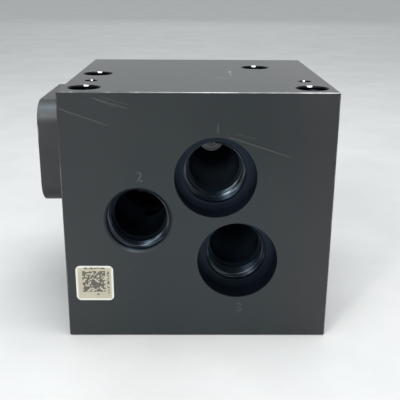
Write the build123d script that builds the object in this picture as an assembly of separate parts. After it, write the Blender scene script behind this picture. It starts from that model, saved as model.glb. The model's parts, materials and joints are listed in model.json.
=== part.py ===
from build123d import *
import math
import os

# Hydraulic valve block with a slip-in logic element, a relief cartridge and a check valve, in millimetres.
# It stands on its base, +Z up, with its three line ports in the front face, at -Y.
# The origin is the middle of the base face.
# Each valve is drawn in a local frame whose Z axis is the depth below the face that it is fitted from.

# Block
BLOCK_WIDTH = 140.0
BLOCK_DEPTH = 140.0
BLOCK_HEIGHT = 134.0
EDGE_BREAK = 0.6
MOUTH_CHAMFER = 0.7

# Fits
RUNNING_CLEARANCE = 0.02
THREAD_CLEARANCE = 0.03
SEAT_GAP = 0.07
LOGIC_SPRING_SIDE_GAP = 0.25
CHECK_SPRING_SIDE_GAP = 0.35
BACKUP_RING_END_GAP = 0.1
POPPET_TAIL_SPARE = 0.1
POPPET_NOSE_OVER_SEAT = 0.05
CHECK_STEM_SHORT_OF_END = 0.5

# Edges, slots and tapers of the pieces
FINE_CHAMFER = 0.3
SMALL_CHAMFER = 0.4
SLEEVE_CHAMFER = 0.5
SLEEVE_NOSE_CHAMFER = 1.0
COLLAR_CHAMFER = 0.6
BONNET_CHAMFER = 1.0
CAGE_HEX_CHAMFER = 1.2
LOCK_NUT_CHAMFER = 0.8
SET_SCREW_OUTER_CHAMFER = 0.8
SET_SCREW_INNER_CHAMFER = 1.2
THREAD_LEAD = 1.0
THREAD_START_TAPER = 0.5
THREAD_RUNOUT_START = 3.0
THREAD_RUNOUT_END = 1.0
TURNING_MARGIN = 0.1
DRILL_OVERRUN = 1.0
HEX_OVERLAP = 0.5
JET_SLOT_WIDTH = 0.8
JET_SLOT_DEPTH = 0.8
PILOT_PLUG_SOCKET_DEPTH = 3.78
CAGE_HOLE_BEYOND_MIDDLE = 1.0
POPPET_BEYOND_GUIDE = 1.0
RELIEF_HEAD_OVERLAP = 0.6
RELIEF_HEAD_THICKNESS = 1.0
RELIEF_HEAD_TAPER = 0.5
RELIEF_TIP_UNDER_SEAT = 0.4
RELIEF_GUIDE_SHORT_OF_FLOW = 2.0
RELIEF_NECK_TAPER = 1.0
RELIEF_NECK_SHARE = 0.6
END_GAP = 0.2
DRILL_POINT_SLOPE = math.tan(math.radians(31))

# Line ports, G1: two are sunk in a counterbore and one is threaded from the face
PORT_THREAD_RADIUS = 16.625
PORT_BORE_RADIUS = 14.0
PORT_COUNTERBORE_RADIUS = 21.25
DUMP_COUNTERBORE_DEPTH = 11.0
DUMP_THREAD_LENGTH = 19.0
INLET_COUNTERBORE_DEPTH = 13.0
INLET_THREAD_LENGTH = 16.0
FLUSH_MOUTH_RADIUS = 18.0
FLUSH_THREAD_LENGTH = 13.5
FLUSH_PASSAGE_RADIUS = 7.25
FLUSH_BORE_UNDER_GROOVE = 1.3

# Where the line ports lie
DUMP_BELOW_TOP = 44.0
FLUSH_LEFT_OF_DUMP = 40.0
FLUSH_BELOW_DUMP = 23.0
INLET_RIGHT_OF_DUMP = 12.0
INLET_BELOW_DUMP = 45.5

# Logic element, fitted from the left face
LOGIC_ABOVE_DUMP = 1.5
LOGIC_BORE_RADIUS = 16.0
LOGIC_BORE_DEPTH = 43.0
LOGIC_NOSE_RADIUS = 12.5
LOGIC_NOSE_LENGTH = 13.0
LOGIC_OUTLET_RADIUS = 7.25
LOGIC_OUTLET_LAND = 9.0
OUTLET_INSIDE_BORE = 0.25
LOGIC_GROOVE_CUT = 4.0
LOGIC_GROOVE_WIDTH = 11.0
LOGIC_GROOVE_FROM_STEP = 2.5
POPPET_RADIUS = 10.0
POPPET_SEAT_WIDTH = 2.0
POPPET_WALL = 2.2
POPPET_TRAVEL = 8.0
POPPET_NOSE_WALL = 9.9
WINDOW_RADIUS = 4.5
WINDOW_COUNT = 4
LOGIC_SPRING_WIRE_RADIUS = 0.85
LOGIC_SPRING_TURNS = 9
SLEEVE_SEAL_SECTION = 0.95
SLEEVE_GROOVE_START = 9.0
SLEEVE_GROOVE_WIDTH = 3.8
NOSE_GROOVE_FROM_STEP = 4.5
BACKUP_RING_WIDTH = 1.4

# Side cover over the logic element
COVER_LENGTH = 78.9
COVER_HEIGHT = 59.7
COVER_THICKNESS = 20.0
COVER_CORNER_RADIUS = 12.6
COVER_EDGE_BREAK = 0.5
COVER_SCREW_INSET = 10.5
COVER_SCREW_RADIUS = 4.0
COVER_SCREW_CLEARANCE = 0.5
COVER_SCREW_HEAD_RADIUS = 6.5
COVER_SCREW_HEAD_HEIGHT = 8.0
COVER_SCREW_HEAD_CLEARANCE = 0.5
COVER_SCREW_SOCKET = 6.0
COVER_SCREW_ENGAGEMENT = 14.0
COVER_SCREW_END_GAP = 2.0
SPRING_CHAMBER_ROUND_SPRING = 1.2
SPRING_CHAMBER_DEPTH = 9.0
PILOT_PORT_RADIUS = 4.864
PILOT_PORT_DEPTH = 8.0
PILOT_PLUG_LENGTH = 6.3
PILOT_PLUG_SOCKET = 5.0
PILOT_PASSAGE_RADIUS = 2.0
PILOT_AHEAD_OF_LOGIC = 16.3
PILOT_BELOW_LOGIC = 22.6
OBLIQUE_DRILL_RADIUS = 1.25
JET_RADIUS = 2.5
JET_LENGTH = 5.0
JET_BACK_GAP = 2.8
JET_ORIFICE_RADIUS = 0.5
COVER_SEAL_ROUND_BORE = 1.0
COVER_SEAL_SECTION = 1.0
JET_SEAL_ROUND_JET = 0.6
JET_SEAL_SECTION = 0.8

# Relief cartridge, screwed in from the rear face, its nose in the dump bore
RELIEF_THREAD_RADIUS = 13.5
RELIEF_THREAD_DEPTH = 18.0
RELIEF_BORE_RADIUS = 12.0
RELIEF_BORE_DEPTH = 38.5
RELIEF_NOSE_RADIUS = 8.0
RELIEF_NOSE_LENGTH = 12.0
RELIEF_NOSE_MOUTH_CHAMFER = 0.8
NOSE_CLEARANCE = 0.08
SEAL_POCKET_ROUND_THREAD = 1.7
SEAL_POCKET_DEPTH = 2.6
HEAD_NECK_UNDER_THREAD = 0.5
CAGE_ANNULUS = 2.4
CAGE_HEX = 32.0
CAGE_HEX_HEIGHT = 12.0
BONNET_WALL = 2.3
BONNET_HEIGHT = 17.0
BONNET_END_WALL = 6.0
CHAMBER_RADIUS = 7.7
GUIDE_START = 5.0
RELIEF_POPPET_RADIUS = 5.5
FLOW_RADIUS = 6.8
FLOW_LENGTH = 10.5
CAGE_HOLE_RADIUS = 2.1
CAGE_HOLE_COUNT = 6
SEAT_FLANGE_THICKNESS = 2.5
SEAT_TO_STEP = 0.5
SEAT_WALL = 1.9
SEAT_HOLE_RADIUS = 2.85
SEAT_CHAMFER = 0.7
NOSE_RIM = 1.0
NOSE_RECESS_DEPTH = 3.5
NOSE_GROOVE_CUT = 1.4
NOSE_GROOVE_BEYOND_STEP = 1.3
NOSE_GROOVE_WIDTH = 5.0
BALANCE_HOLE_RADIUS = 0.8
RELIEF_SPRING_WIRE_RADIUS = 0.95
RELIEF_SPRING_TURNS = 5.5
RELIEF_SPRING_LENGTH = 18.0
RELIEF_SPRING_SIDE_GAP = 1.05
SPRING_CUP_THICKNESS = 2.0
SPRING_CUP_SPIGOT = 3.0
SPRING_CUP_CLEARANCE = 0.4
ADJUST_SCREW_RADIUS = 5.0
ADJUST_SCREW_LENGTH = 26.0
ADJUST_SCREW_SOCKET = 5.0
SCREW_SEAL_SECTION = 0.8
LOCK_NUT_HEX = 17.0
LOCK_NUT_HEIGHT = 8.0

# Check valve, in the cross drilling from the right face
CHECK_ABOVE_INLET = 10.7
CHECK_BORE_RADIUS = 9.0
CHECK_OUTLET_LEDGE = 3.0
CHECK_OUTLET_LAND = 3.4
CHECK_LENGTH = 19.0
CHECK_SEAT_LENGTH = 5.0
CHECK_SEAT_HOLE_RADIUS = 4.3
CHECK_SEAT_CHAMFER = 0.8
CHECK_WALL = 2.2
CHECK_FLOOR = 2.8
CHECK_STEM_RADIUS = 2.0
CHECK_HEAD_OVERLAP = 1.2
CHECK_HEAD_THICKNESS = 2.4
CHECK_NOSE_UNDER_SEAT = 0.9
CHECK_FLOW_HOLE_RADIUS = 1.2
CHECK_FLOW_HOLE_PLACE = 4.6
CHECK_FLOW_HOLE_COUNT = 6
CHECK_SPRING_WIRE_RADIUS = 0.5
CHECK_SPRING_TURNS = 5
CHECK_SEAL_SECTION = 0.65
CHECK_GROOVE_WIDTH = 2.6
CHECK_GROOVE_FROM_END = 5.0

# Upright gallery from the base, and the G1/2 plugs
GALLERY_RADIUS = 8.0
GALLERY_RIGHT_OF_DUMP = 3.0
PLUG_THREAD_RADIUS = 10.48
PLUG_THREAD_DEPTH = 14.0
PLUG_THREAD_LENGTH = 12.0
PLUG_COLLAR_LEDGE = 2.52
PLUG_COLLAR_HEIGHT = 4.0
PLUG_SOCKET = 10.0
PLUG_SOCKET_DEPTH = 7.5
PLUG_WASHER_THICKNESS = 1.5
PLUG_WASHER_INSET = 0.2
BASE_RECESS_CLEARANCE = 1.0
WALL_BETWEEN_BORES = 2.0
INLET_BEYOND_GALLERY = 1.25

# Mounting threads, M16, and dowel holes in the top face
TAP_RADIUS = 8.0
TAP_DEPTH = 22.0
SIDE_INSET = 12.0
FRONT_INSET = 13.5
MIDDLE_TAP_FROM_FRONT = 66.5
REAR_TAP_FROM_RIGHT = 34.0
REAR_TAP_FROM_FRONT = 98.0
DOWEL_RADIUS = 3.0
DOWEL_DEPTH = 12.0
DOWEL_FROM_FRONT = 38.0

# Identification label
LABEL_SIZE = 20.0
LABEL_THICKNESS = 0.15
LABEL_CORNER_RADIUS = 2.5
LABEL_FROM_LEFT = 5.0
LABEL_FROM_BASE = 21.5

# Faces of the block
LEFT = -BLOCK_WIDTH / 2
RIGHT = BLOCK_WIDTH / 2
FRONT = -BLOCK_DEPTH / 2
REAR = BLOCK_DEPTH / 2
TOP = BLOCK_HEIGHT

# Sizes that follow from the values above
LOGIC_GROOVE_RADIUS = LOGIC_BORE_RADIUS + LOGIC_GROOVE_CUT
POPPET_SEAT_RADIUS = POPPET_RADIUS - POPPET_SEAT_WIDTH
POPPET_SPRING_BORE = POPPET_RADIUS - POPPET_WALL
SPRING_CHAMBER_RADIUS = POPPET_SPRING_BORE + SPRING_CHAMBER_ROUND_SPRING
COVER_SCREW_HOLE_RADIUS = COVER_SCREW_RADIUS + COVER_SCREW_CLEARANCE
COVER_SCREW_HOLE_DEPTH = COVER_SCREW_ENGAGEMENT + COVER_SCREW_END_GAP
COVER_SEAL_INNER_RADIUS = LOGIC_BORE_RADIUS + COVER_SEAL_ROUND_BORE
JET_SEAL_INNER_RADIUS = JET_RADIUS + JET_SEAL_ROUND_JET
JET_SEAT_DEPTH = END_GAP + JET_LENGTH + JET_BACK_GAP
RELIEF_NOSE_DEPTH = RELIEF_BORE_DEPTH + RELIEF_NOSE_LENGTH
SEAL_POCKET_RADIUS = RELIEF_THREAD_RADIUS + SEAL_POCKET_ROUND_THREAD
HEAD_NECK_RADIUS = RELIEF_THREAD_RADIUS - HEAD_NECK_UNDER_THREAD
CAGE_BARREL_RADIUS = RELIEF_BORE_RADIUS - CAGE_ANNULUS
BONNET_RADIUS = CHAMBER_RADIUS + BONNET_WALL
SEAT_BODY_RADIUS = SEAT_HOLE_RADIUS + SEAT_WALL
NOSE_RECESS_RADIUS = RELIEF_NOSE_RADIUS - NOSE_RIM
NOSE_GROOVE_FLOOR = RELIEF_NOSE_RADIUS - NOSE_GROOVE_CUT
NOSE_GROOVE_START = RELIEF_BORE_DEPTH + NOSE_GROOVE_BEYOND_STEP
CHECK_OUTLET_RADIUS = CHECK_BORE_RADIUS - CHECK_OUTLET_LEDGE
CHECK_HEAD_RADIUS = CHECK_SEAT_HOLE_RADIUS + CHECK_HEAD_OVERLAP
CHECK_NOSE_RADIUS = CHECK_SEAT_HOLE_RADIUS - CHECK_NOSE_UNDER_SEAT
PLUG_COLLAR_RADIUS = PLUG_THREAD_RADIUS + PLUG_COLLAR_LEDGE
BASE_RECESS_RADIUS = PLUG_COLLAR_RADIUS + BASE_RECESS_CLEARANCE
BASE_RECESS_DEPTH = PLUG_COLLAR_HEIGHT + PLUG_WASHER_THICKNESS + BASE_RECESS_CLEARANCE
DUMP_BORE_DEPTH = BLOCK_DEPTH - RELIEF_NOSE_DEPTH
LOGIC_NOSE_DEPTH = LOGIC_BORE_DEPTH + LOGIC_NOSE_LENGTH
LOGIC_GROOVE_END = LOGIC_BORE_DEPTH - LOGIC_GROOVE_FROM_STEP
LOGIC_GROOVE_START = LOGIC_GROOVE_END - LOGIC_GROOVE_WIDTH

# Where the axes lie
DUMP_X = LEFT + LOGIC_NOSE_DEPTH + LOGIC_OUTLET_LAND + PORT_BORE_RADIUS
DUMP_Z = TOP - DUMP_BELOW_TOP
FLUSH_X = DUMP_X - FLUSH_LEFT_OF_DUMP
FLUSH_Z = DUMP_Z - FLUSH_BELOW_DUMP
INLET_X = DUMP_X + INLET_RIGHT_OF_DUMP
INLET_Z = DUMP_Z - INLET_BELOW_DUMP
LOGIC_Y = FRONT + DUMP_BORE_DEPTH - LOGIC_OUTLET_RADIUS - OUTLET_INSIDE_BORE
LOGIC_Z = DUMP_Z + LOGIC_ABOVE_DUMP
FLUSH_POINT_LENGTH = (PORT_BORE_RADIUS - FLUSH_PASSAGE_RADIUS) * DRILL_POINT_SLOPE
FLUSH_BORE_DEPTH = LOGIC_Y - FRONT - LOGIC_GROOVE_RADIUS + FLUSH_BORE_UNDER_GROOVE
FLUSH_PASSAGE_DEPTH = LOGIC_Y - FRONT + FLUSH_PASSAGE_RADIUS
CHECK_Y = FRONT + FLUSH_BORE_DEPTH - CHECK_BORE_RADIUS - WALL_BETWEEN_BORES
CHECK_Z = INLET_Z + CHECK_ABOVE_INLET
CHECK_BORE_DEPTH = RIGHT - FLUSH_X - PORT_BORE_RADIUS - CHECK_OUTLET_LAND
GALLERY_X = DUMP_X + GALLERY_RIGHT_OF_DUMP
GALLERY_Y = REAR - (RELIEF_THREAD_DEPTH + RELIEF_BORE_DEPTH) / 2
INLET_BORE_DEPTH = GALLERY_Y - FRONT + GALLERY_RADIUS + INLET_BEYOND_GALLERY
PILOT_Y = LOGIC_Y - PILOT_AHEAD_OF_LOGIC
PILOT_Z = LOGIC_Z - PILOT_BELOW_LOGIC

DUMP_AXIS = Plane(origin=(DUMP_X, FRONT, DUMP_Z), x_dir=(1, 0, 0), z_dir=(0, 1, 0))
FLUSH_AXIS = Plane(origin=(FLUSH_X, FRONT, FLUSH_Z), x_dir=(1, 0, 0), z_dir=(0, 1, 0))
INLET_AXIS = Plane(origin=(INLET_X, FRONT, INLET_Z), x_dir=(1, 0, 0), z_dir=(0, 1, 0))
LOGIC_AXIS = Plane(origin=(LEFT, LOGIC_Y, LOGIC_Z), x_dir=(0, 1, 0), z_dir=(1, 0, 0))
PILOT_AXIS = Plane(origin=(LEFT, PILOT_Y, PILOT_Z), x_dir=(0, 1, 0), z_dir=(1, 0, 0))
RELIEF_AXIS = Plane(origin=(DUMP_X, REAR, DUMP_Z), x_dir=(1, 0, 0), z_dir=(0, -1, 0))
CHECK_AXIS = Plane(origin=(RIGHT, CHECK_Y, CHECK_Z), x_dir=(0, 1, 0), z_dir=(-1, 0, 0))
GALLERY_AXIS = Plane(origin=(GALLERY_X, GALLERY_Y, 0), x_dir=(1, 0, 0), z_dir=(0, 0, 1))

COVER_SCREW_SPREAD = COVER_LENGTH / 2 - COVER_SCREW_INSET
COVER_SCREW_RISE = COVER_HEIGHT / 2 - COVER_SCREW_INSET
COVER_SCREW_PLANES = [
    Plane(
        origin=(LEFT, LOGIC_Y + side * COVER_SCREW_SPREAD, LOGIC_Z + rise * COVER_SCREW_RISE),
        x_dir=(0, 1, 0),
        z_dir=(1, 0, 0),
    )
    for side in (-1, 1)
    for rise in (-1, 1)
]
TAP_PLACES = [
    (LEFT + SIDE_INSET, FRONT + FRONT_INSET),
    (RIGHT - SIDE_INSET, FRONT + FRONT_INSET),
    (LEFT + SIDE_INSET, FRONT + MIDDLE_TAP_FROM_FRONT),
    (RIGHT - REAR_TAP_FROM_RIGHT, FRONT + REAR_TAP_FROM_FRONT),
]
DOWEL_PLACES = [
    (LEFT + SIDE_INSET, FRONT + DOWEL_FROM_FRONT),
    (RIGHT - SIDE_INSET, FRONT + DOWEL_FROM_FRONT),
]


# Shapes on the local Z axis
def bar(radius, start, end):
    """A round bar."""
    return Pos(0, 0, start) * Cylinder(radius, end - start, align=(Align.CENTER, Align.CENTER, Align.MIN))


def cone(start_radius, end_radius, start, end):
    """A tapered bar."""
    along = (Align.CENTER, Align.CENTER, Align.MIN)
    return Pos(0, 0, start) * Cone(start_radius, end_radius, end - start, align=along)


def tube(outer, inner, start, end):
    """A round tube."""
    return bar(outer, start, end) - bar(inner, start, end)


def hexagon(across_flats, start, end):
    """A hexagonal bar."""
    outline = RegularPolygon(across_flats / 2, 6, major_radius=False)
    return Pos(0, 0, start) * extrude(outline, end - start)


def turned(*outline):
    """A solid turned about the local Z axis, from its outline's points (radius, distance)."""
    points = [(radius, 0, distance) for radius, distance in outline]
    return revolve(make_face(Polyline(*points, close=True)), Axis.Z, 360)


def ring(inner_radius, section_radius, middle):
    """A sealing ring of round section."""
    return Pos(0, 0, middle) * Torus(inner_radius + section_radius, section_radius)


def around(count, shape):
    """Copies of a shape, evenly spaced about the local Z axis."""
    return [Rot(0, 0, turn * 360 / count) * shape for turn in range(count)]


def cross_hole(radius, reach, distance):
    """A radial drilling along local X."""
    return Pos(0, 0, distance) * Rot(0, 90, 0) * bar(radius, 0, reach)


def coil_spring(mean_radius, wire_radius, start, end, turns):
    """A compression spring of round wire that fills the space between two faces."""
    height = end - start - 2 * wire_radius
    path = Pos(0, 0, start + wire_radius) * Helix(height / turns, height, mean_radius)
    section = Plane(origin=path @ 0, z_dir=path % 0) * Circle(wire_radius)
    return sweep(section, path=path, is_frenet=True)


def blind_hole(radius, depth):
    """A blind hole with a countersunk mouth and a drill point."""
    mouth = cone(radius + MOUTH_CHAMFER, radius, 0, MOUTH_CHAMFER)
    point = cone(radius, 0, depth, depth + radius * DRILL_POINT_SLOPE)
    return bar(radius, 0, depth) + mouth + point


# Block
def sunk_port(counterbore_depth, thread_length, bore_depth):
    """A line port: counterbore, thread and bore."""
    thread_end = counterbore_depth + thread_length
    return (
        bar(PORT_COUNTERBORE_RADIUS, 0, counterbore_depth)
        + bar(PORT_THREAD_RADIUS, 0, thread_end)
        + bar(PORT_BORE_RADIUS, 0, bore_depth)
    )


def flush_port():
    """The port threaded from the face, and its passage to the logic element."""
    mouth_depth = FLUSH_MOUTH_RADIUS - PORT_THREAD_RADIUS
    point_end = FLUSH_BORE_DEPTH + FLUSH_POINT_LENGTH
    return (
        cone(FLUSH_MOUTH_RADIUS, PORT_THREAD_RADIUS, 0, mouth_depth)
        + bar(PORT_THREAD_RADIUS, 0, FLUSH_THREAD_LENGTH)
        + bar(PORT_BORE_RADIUS, 0, FLUSH_BORE_DEPTH)
        + cone(PORT_BORE_RADIUS, FLUSH_PASSAGE_RADIUS, FLUSH_BORE_DEPTH, point_end)
        + bar(FLUSH_PASSAGE_RADIUS, 0, FLUSH_PASSAGE_DEPTH)
    )


def logic_cavity():
    """The stepped bore for the sleeve, with its groove and its outlet to the dump bore."""
    return (
        bar(LOGIC_BORE_RADIUS, 0, LOGIC_BORE_DEPTH)
        + bar(LOGIC_GROOVE_RADIUS, LOGIC_GROOVE_START, LOGIC_GROOVE_END)
        + bar(LOGIC_NOSE_RADIUS, 0, LOGIC_NOSE_DEPTH)
        + bar(LOGIC_OUTLET_RADIUS, 0, DUMP_X - LEFT)
    )


def relief_cavity():
    """The stepped bore for the relief cartridge, open at its nose to the dump bore."""
    mouth_start = RELIEF_NOSE_DEPTH - RELIEF_NOSE_MOUTH_CHAMFER
    mouth_radius = RELIEF_NOSE_RADIUS + RELIEF_NOSE_MOUTH_CHAMFER
    return (
        bar(SEAL_POCKET_RADIUS, 0, SEAL_POCKET_DEPTH)
        + bar(RELIEF_THREAD_RADIUS, 0, RELIEF_THREAD_DEPTH)
        + bar(RELIEF_BORE_RADIUS, 0, RELIEF_BORE_DEPTH)
        + bar(RELIEF_NOSE_RADIUS, 0, RELIEF_NOSE_DEPTH)
        + cone(RELIEF_NOSE_RADIUS, mouth_radius, mouth_start, RELIEF_NOSE_DEPTH)
    )


def check_cavity():
    """The cross drilling from the right face, over the inlet bore, to the flush bore."""
    return (
        bar(PLUG_THREAD_RADIUS, 0, PLUG_THREAD_DEPTH)
        + bar(CHECK_BORE_RADIUS, 0, CHECK_BORE_DEPTH)
        + bar(CHECK_OUTLET_RADIUS, 0, RIGHT - FLUSH_X)
    )


def gallery():
    """The upright drilling from the base, through the inlet bore, to the relief cartridge."""
    return (
        bar(BASE_RECESS_RADIUS, 0, BASE_RECESS_DEPTH)
        + bar(PLUG_THREAD_RADIUS, 0, BASE_RECESS_DEPTH + PLUG_THREAD_DEPTH)
        + bar(GALLERY_RADIUS, 0, DUMP_Z - GALLERY_RADIUS)
    )


def valve_body():
    block = Pos(0, 0, BLOCK_HEIGHT / 2) * Box(BLOCK_WIDTH, BLOCK_DEPTH, BLOCK_HEIGHT)
    block = chamfer(block.edges(), EDGE_BREAK)
    dump_port = sunk_port(DUMP_COUNTERBORE_DEPTH, DUMP_THREAD_LENGTH, DUMP_BORE_DEPTH)
    inlet_port = sunk_port(INLET_COUNTERBORE_DEPTH, INLET_THREAD_LENGTH, INLET_BORE_DEPTH)
    cuts = [
        DUMP_AXIS * dump_port,
        INLET_AXIS * inlet_port,
        FLUSH_AXIS * flush_port(),
        LOGIC_AXIS * logic_cavity(),
        RELIEF_AXIS * relief_cavity(),
        CHECK_AXIS * check_cavity(),
        GALLERY_AXIS * gallery(),
        PILOT_AXIS * bar(PILOT_PASSAGE_RADIUS, 0, FLUSH_X - LEFT),
    ]
    for x, y in TAP_PLACES:
        cuts.append(Pos(x, y, TOP) * Rot(180, 0, 0) * blind_hole(TAP_RADIUS, TAP_DEPTH))
    for x, y in DOWEL_PLACES:
        cuts.append(Pos(x, y, TOP) * Rot(180, 0, 0) * blind_hole(DOWEL_RADIUS, DOWEL_DEPTH))
    for plane in COVER_SCREW_PLANES:
        cuts.append(plane * blind_hole(COVER_SCREW_RADIUS, COVER_SCREW_HOLE_DEPTH))
    for cut in cuts:
        block = block - cut
    return block


def identification_label():
    middle = (LEFT + LABEL_FROM_LEFT + LABEL_SIZE / 2, FRONT, LABEL_FROM_BASE + LABEL_SIZE / 2)
    on_front = Plane(origin=middle, x_dir=(1, 0, 0), z_dir=(0, -1, 0))
    outline = RectangleRounded(LABEL_SIZE, LABEL_SIZE, LABEL_CORNER_RADIUS)
    return extrude(on_front * outline, LABEL_THICKNESS)


# Side cover
def oblique_drilling():
    """The slanting drilling in the cover, from behind the jet to the spring chamber."""
    start = Vector(LEFT - JET_SEAT_DEPTH + OBLIQUE_DRILL_RADIUS, PILOT_Y, PILOT_Z)
    middle = Vector(LEFT - SPRING_CHAMBER_DEPTH + 2 * OBLIQUE_DRILL_RADIUS, LOGIC_Y, LOGIC_Z)
    run = middle - start
    run_to_chamber = run.length - SPRING_CHAMBER_RADIUS + OBLIQUE_DRILL_RADIUS
    return Plane(origin=start, z_dir=run) * bar(OBLIQUE_DRILL_RADIUS, 0, run_to_chamber)


def seal_groove(inner_radius, section_radius):
    """A face groove that a sealing ring just fills."""
    return tube(inner_radius + 2 * section_radius, inner_radius, -2 * section_radius, 0)


def side_cover():
    outline = RectangleRounded(COVER_LENGTH, COVER_HEIGHT, COVER_CORNER_RADIUS)
    cover = extrude(LOGIC_AXIS * outline, -COVER_THICKNESS)
    outer_face = cover.faces().sort_by(Axis.X)[0]
    cover = chamfer(outer_face.edges(), COVER_EDGE_BREAK)
    outer = -COVER_THICKNESS
    mouth = cone(PILOT_PORT_RADIUS + MOUTH_CHAMFER, PILOT_PORT_RADIUS, outer, outer + MOUTH_CHAMFER)
    head_end = outer + COVER_SCREW_HEAD_HEIGHT + COVER_SCREW_HEAD_CLEARANCE
    head_radius = COVER_SCREW_HEAD_RADIUS + COVER_SCREW_HEAD_CLEARANCE
    cuts = [
        LOGIC_AXIS * bar(SPRING_CHAMBER_RADIUS, -SPRING_CHAMBER_DEPTH, 0),
        LOGIC_AXIS * bar(PILOT_PASSAGE_RADIUS, outer, 0),
        LOGIC_AXIS * bar(PILOT_PORT_RADIUS, outer, outer + PILOT_PORT_DEPTH),
        LOGIC_AXIS * mouth,
        LOGIC_AXIS * seal_groove(COVER_SEAL_INNER_RADIUS, COVER_SEAL_SECTION),
        PILOT_AXIS * seal_groove(JET_SEAL_INNER_RADIUS, JET_SEAL_SECTION),
        PILOT_AXIS * bar(JET_RADIUS, -JET_SEAT_DEPTH, 0),
        oblique_drilling(),
    ]
    for plane in COVER_SCREW_PLANES:
        cuts.append(plane * bar(COVER_SCREW_HOLE_RADIUS, outer, 0))
        cuts.append(plane * bar(head_radius, outer, head_end))
    for cut in cuts:
        cover = cover - cut
    return cover


def cover_screws():
    """Four socket head cap screws, sunk in the cover."""
    seat = -COVER_THICKNESS + COVER_SCREW_HEAD_HEIGHT + COVER_SCREW_HEAD_CLEARANCE
    top = seat - COVER_SCREW_HEAD_HEIGHT
    shank = COVER_SCREW_RADIUS - THREAD_CLEARANCE
    screw = turned(
        (0, top),
        (COVER_SCREW_HEAD_RADIUS - SMALL_CHAMFER, top),
        (COVER_SCREW_HEAD_RADIUS, top + SMALL_CHAMFER),
        (COVER_SCREW_HEAD_RADIUS, seat),
        (shank, seat),
        (shank, COVER_SCREW_ENGAGEMENT - THREAD_LEAD),
        (shank - THREAD_LEAD, COVER_SCREW_ENGAGEMENT),
        (0, COVER_SCREW_ENGAGEMENT),
    )
    screw -= hexagon(COVER_SCREW_SOCKET, top, top + COVER_SCREW_HEAD_HEIGHT / 2)
    return [plane * screw for plane in COVER_SCREW_PLANES]


def pilot_port_plug():
    """Hexagon socket plug, just below the cover's face."""
    outer = -COVER_THICKNESS + MOUTH_CHAMFER
    end = outer + PILOT_PLUG_LENGTH
    radius = PILOT_PORT_RADIUS - THREAD_CLEARANCE
    body = turned(
        (0, outer),
        (radius - SMALL_CHAMFER, outer),
        (radius, outer + SMALL_CHAMFER),
        (radius, end),
        (0, end),
    )
    return LOGIC_AXIS * (body - hexagon(PILOT_PLUG_SOCKET, outer, outer + PILOT_PLUG_SOCKET_DEPTH))


def pilot_jet():
    """Slotted jet in the cover, which feeds the spring chamber from the flush bore."""
    slot = Pos(0, 0, -END_GAP) * Box(2 * JET_RADIUS, JET_SLOT_WIDTH, 2 * JET_SLOT_DEPTH)
    body = tube(JET_RADIUS - THREAD_CLEARANCE, JET_ORIFICE_RADIUS, -END_GAP - JET_LENGTH, -END_GAP)
    return PILOT_AXIS * (body - slot)


# Logic element
SLEEVE_RADIUS = LOGIC_BORE_RADIUS - RUNNING_CLEARANCE
SLEEVE_NOSE_RADIUS = LOGIC_NOSE_RADIUS - RUNNING_CLEARANCE
SLEEVE_GROOVE_FLOOR = LOGIC_BORE_RADIUS - 2 * SLEEVE_SEAL_SECTION
SLEEVE_NOSE_GROOVE_FLOOR = LOGIC_NOSE_RADIUS - 2 * SLEEVE_SEAL_SECTION
SLEEVE_GROOVE_END = SLEEVE_GROOVE_START + SLEEVE_GROOVE_WIDTH
SLEEVE_NOSE_GROOVE_START = LOGIC_BORE_DEPTH + NOSE_GROOVE_FROM_STEP
SLEEVE_NOSE_GROOVE_END = SLEEVE_NOSE_GROOVE_START + SLEEVE_GROOVE_WIDTH
SEAT_EDGE = LOGIC_BORE_DEPTH - (POPPET_RADIUS - POPPET_SEAT_RADIUS)
POPPET_TAIL = END_GAP + POPPET_TRAVEL + POPPET_TAIL_SPARE
POPPET_NOSE_RADIUS = POPPET_SEAT_RADIUS + POPPET_NOSE_OVER_SEAT
POPPET_FLOOR = LOGIC_BORE_DEPTH - POPPET_NOSE_WALL


def logic_sleeve():
    """Sleeve with its seat, side windows and two seal grooves."""
    shoulder = LOGIC_BORE_DEPTH - END_GAP
    end = LOGIC_NOSE_DEPTH - END_GAP
    body = turned(
        (POPPET_RADIUS, END_GAP),
        (SLEEVE_RADIUS - SLEEVE_CHAMFER, END_GAP),
        (SLEEVE_RADIUS, END_GAP + SLEEVE_CHAMFER),
        (SLEEVE_RADIUS, SLEEVE_GROOVE_START),
        (SLEEVE_GROOVE_FLOOR, SLEEVE_GROOVE_START),
        (SLEEVE_GROOVE_FLOOR, SLEEVE_GROOVE_END),
        (SLEEVE_RADIUS, SLEEVE_GROOVE_END),
        (SLEEVE_RADIUS, shoulder),
        (SLEEVE_NOSE_RADIUS, shoulder),
        (SLEEVE_NOSE_RADIUS, SLEEVE_NOSE_GROOVE_START),
        (SLEEVE_NOSE_GROOVE_FLOOR, SLEEVE_NOSE_GROOVE_START),
        (SLEEVE_NOSE_GROOVE_FLOOR, SLEEVE_NOSE_GROOVE_END),
        (SLEEVE_NOSE_RADIUS, SLEEVE_NOSE_GROOVE_END),
        (SLEEVE_NOSE_RADIUS, end - SLEEVE_NOSE_CHAMFER),
        (SLEEVE_NOSE_RADIUS - SLEEVE_NOSE_CHAMFER, end),
        (POPPET_SEAT_RADIUS, end),
        (POPPET_SEAT_RADIUS, LOGIC_BORE_DEPTH),
        (POPPET_RADIUS, SEAT_EDGE),
    )
    middle = (LOGIC_GROOVE_START + LOGIC_GROOVE_END) / 2
    window = cross_hole(WINDOW_RADIUS, LOGIC_BORE_RADIUS + DRILL_OVERRUN, middle)
    for hole in around(WINDOW_COUNT, Rot(0, 0, 180 / WINDOW_COUNT) * window):
        body -= hole
    return LOGIC_AXIS * body


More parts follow.
